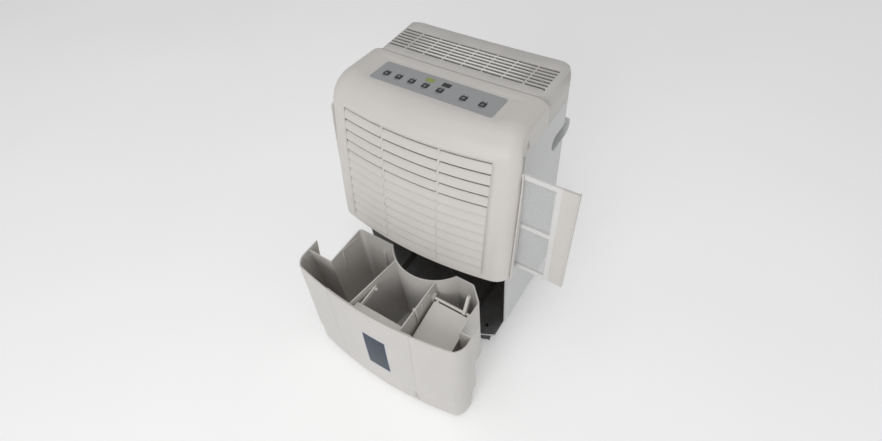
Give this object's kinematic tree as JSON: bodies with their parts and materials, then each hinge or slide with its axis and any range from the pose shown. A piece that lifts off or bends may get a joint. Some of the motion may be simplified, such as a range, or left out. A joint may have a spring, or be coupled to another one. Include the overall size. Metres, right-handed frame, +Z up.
{
  "type": "dehumidifier",
  "caption": "Portable room dehumidifier on swivel casters with a louvred front hood, a pull-out water bucket with carrying bail and float, and a side-sliding air filter.",
  "frame": {"origin": "on the floor, under the middle of the cabinet's width and the fan's shaft line", "axes": "+Z up, -Y out of the front towards the bucket, +X to the viewer's right when facing the front"},
  "size_m": [0.5006, 0.525, 0.6139],
  "materials": {
    "warm_white": "satin moulded plastic",
    "cap_grey": "satin moulded plastic",
    "panel_grey": "satin printed film",
    "display_lit": "lit lens",
    "display_dark": "smoked lens",
    "board_green": "circuit board",
    "galvanised": "zinc plated sheet",
    "cabinet_white": "fine powder coat",
    "bay_grey": "plain moulded plastic",
    "fin_aluminium": "pressed fins",
    "copper": "drawn copper",
    "black_paint": "gloss paint",
    "black_rubber": "soft",
    "motor_steel": "plain",
    "black_plastic": "fine texture",
    "screw_steel": "plated",
    "filter_white": "plain moulded plastic",
    "mesh_white": "fine woven net",
    "bucket_grey": "satin moulded plastic",
    "window_blue": "tinted clear plastic",
    "handle_cream": "satin moulded plastic",
    "foam_white": "plain",
    "key_grey": "satin",
    "black_tyre": "smooth"
  },
  "bodies": {
    "cabinet": {"front_hood": "warm_white", "top_cap": "cap_grey", "control_strip": "panel_grey", "display_humidity": "display_lit", "display_status": "display_dark", "control_board": "board_green", "base_pan": "galvanised", "cabinet_shell": "cabinet_white", "handle_cup_left": "cabinet_white", "handle_cup_right": "cabinet_white", "bulkhead": "bay_grey", "mid_deck": "bay_grey", "drip_tray": "bay_grey", "bucket_runners": "bay_grey", "evaporator_coil": "fin_aluminium", "condenser_coil": "fin_aluminium", "refrigerant_lines": "copper", "compressor": "black_paint", "compressor_feet": "black_rubber", "accumulator": "copper", "fan_scroll": "bay_grey", "fan_motor": "motor_steel", "motor_bracket": "galvanised", "electrics_box": "bay_grey", "run_capacitor": "motor_steel", "bucket_switch": "black_plastic", "filter_guides": "warm_white", "caster_sockets": "black_plastic", "drain_port": "cabinet_white", "cord_gland": "black_rubber", "rear_screws": "screw_steel"},
    "fan": {"fan_impeller": "bay_grey", "fan_shaft": "screw_steel"},
    "filter": {"filter_frame": "filter_white", "filter_mesh": "mesh_white", "filter_cover": "warm_white"},
    "bucket": {"bucket_tub": "bucket_grey", "bucket_panel": "bucket_grey", "level_window": "window_blue"},
    "bail": {"bucket_handle": "handle_cream"},
    "float": {"float_tank": "foam_white", "float_arm": "handle_cream"},
    "key_1": {"key_1": "key_grey"},
    "key_2": {"key_2": "key_grey"},
    "key_3": {"key_3": "key_grey"},
    "key_4": {"key_4": "key_grey"},
    "key_5": {"key_5": "key_grey"},
    "key_6": {"key_6": "key_grey"},
    "key_7": {"key_7": "key_grey"},
    "caster_fork_front_left": {"caster_fork_front_left": "black_plastic"},
    "caster_wheel_front_left": {"caster_wheel_front_left": "black_tyre"},
    "caster_fork_front_right": {"caster_fork_front_right": "black_plastic"},
    "caster_wheel_front_right": {"caster_wheel_front_right": "black_tyre"},
    "caster_fork_rear_left": {"caster_fork_rear_left": "black_plastic"},
    "caster_wheel_rear_left": {"caster_wheel_rear_left": "black_tyre"},
    "caster_fork_rear_right": {"caster_fork_rear_right": "black_plastic"},
    "caster_wheel_rear_right": {"caster_wheel_rear_right": "black_tyre"}
  },
  "joints": [
    {"name": "fan_spin", "type": "hinge", "parent": "cabinet", "child": "fan", "pos_m": [0, 0, 0.418], "axis": [0, 1, 0], "continuous": true},
    {"name": "filter_slide", "type": "slide", "parent": "cabinet", "child": "filter", "axis": [1, 0, 0], "range_m": [-0.112, 0.2]},
    {"name": "bucket_slide", "type": "slide", "parent": "cabinet", "child": "bucket", "axis": [0, -1, 0], "range_m": [-0.159, 0.09]},
    {"name": "handle_swing", "type": "hinge", "parent": "bucket", "child": "bail", "pos_m": [0, -0.29, 0.264], "axis": [-1, 0, 0], "range_deg": [0, 95]},
    {"name": "float_swing", "type": "hinge", "parent": "bucket", "child": "float", "pos_m": [0, -0.239, 0.248], "axis": [-1, 0, 0], "range_deg": [0, 12]},
    {"name": "key_1_press", "type": "slide", "parent": "cabinet", "child": "key_1", "axis": [0, -0.0698, -0.9976], "range_m": [0, 0.0007], "stiffness_N_per_m": 500},
    {"name": "key_2_press", "type": "slide", "parent": "cabinet", "child": "key_2", "axis": [0, -0.0698, -0.9976], "range_m": [0, 0.0007], "stiffness_N_per_m": 500},
    {"name": "key_3_press", "type": "slide", "parent": "cabinet", "child": "key_3", "axis": [0, -0.0698, -0.9976], "range_m": [0, 0.0007], "stiffness_N_per_m": 500},
    {"name": "key_4_press", "type": "slide", "parent": "cabinet", "child": "key_4", "axis": [0, -0.0698, -0.9976], "range_m": [0, 0.0007], "stiffness_N_per_m": 500},
    {"name": "key_5_press", "type": "slide", "parent": "cabinet", "child": "key_5", "axis": [0, -0.0698, -0.9976], "range_m": [0, 0.0007], "stiffness_N_per_m": 500},
    {"name": "key_6_press", "type": "slide", "parent": "cabinet", "child": "key_6", "axis": [0, -0.0698, -0.9976], "range_m": [0, 0.0007], "stiffness_N_per_m": 500},
    {"name": "key_7_press", "type": "slide", "parent": "cabinet", "child": "key_7", "axis": [0, -0.0698, -0.9976], "range_m": [0, 0.0007], "stiffness_N_per_m": 500},
    {"name": "swivel_front_left", "type": "hinge", "parent": "cabinet", "child": "caster_fork_front_left", "pos_m": [-0.152, -0.158, 0.06], "axis": [0, 0, 1], "continuous": true},
    {"name": "roll_front_left", "type": "hinge", "parent": "caster_fork_front_left", "child": "caster_wheel_front_left", "pos_m": [-0.15888, -0.14817, 0.02], "axis": [0.8192, 0.5736, 0], "continuous": true},
    {"name": "swivel_front_right", "type": "hinge", "parent": "cabinet", "child": "caster_fork_front_right", "pos_m": [0.152, -0.158, 0.06], "axis": [0, 0, 1], "continuous": true},
    {"name": "roll_front_right", "type": "hinge", "parent": "caster_fork_front_right", "child": "caster_wheel_front_right", "pos_m": [0.14018, -0.16008, 0.02], "axis": [-0.1736, 0.9848, 0], "continuous": true},
    {"name": "swivel_rear_left", "type": "hinge", "parent": "cabinet", "child": "caster_fork_rear_left", "pos_m": [-0.152, 0.092, 0.06], "axis": [0, 0, 1], "continuous": true},
    {"name": "roll_rear_left", "type": "hinge", "parent": "caster_fork_rear_left", "child": "caster_wheel_rear_left", "pos_m": [-0.14161, 0.098, 0.02], "axis": [0.5, -0.866, 0], "continuous": true},
    {"name": "swivel_rear_right", "type": "hinge", "parent": "cabinet", "child": "caster_fork_rear_right", "pos_m": [0.152, 0.092, 0.06], "axis": [0, 0, 1], "continuous": true},
    {"name": "roll_rear_right", "type": "hinge", "parent": "caster_fork_rear_right", "child": "caster_wheel_rear_right", "pos_m": [0.14889, 0.10359, 0.02], "axis": [0.9659, 0.2588, 0], "continuous": true}
  ]
}
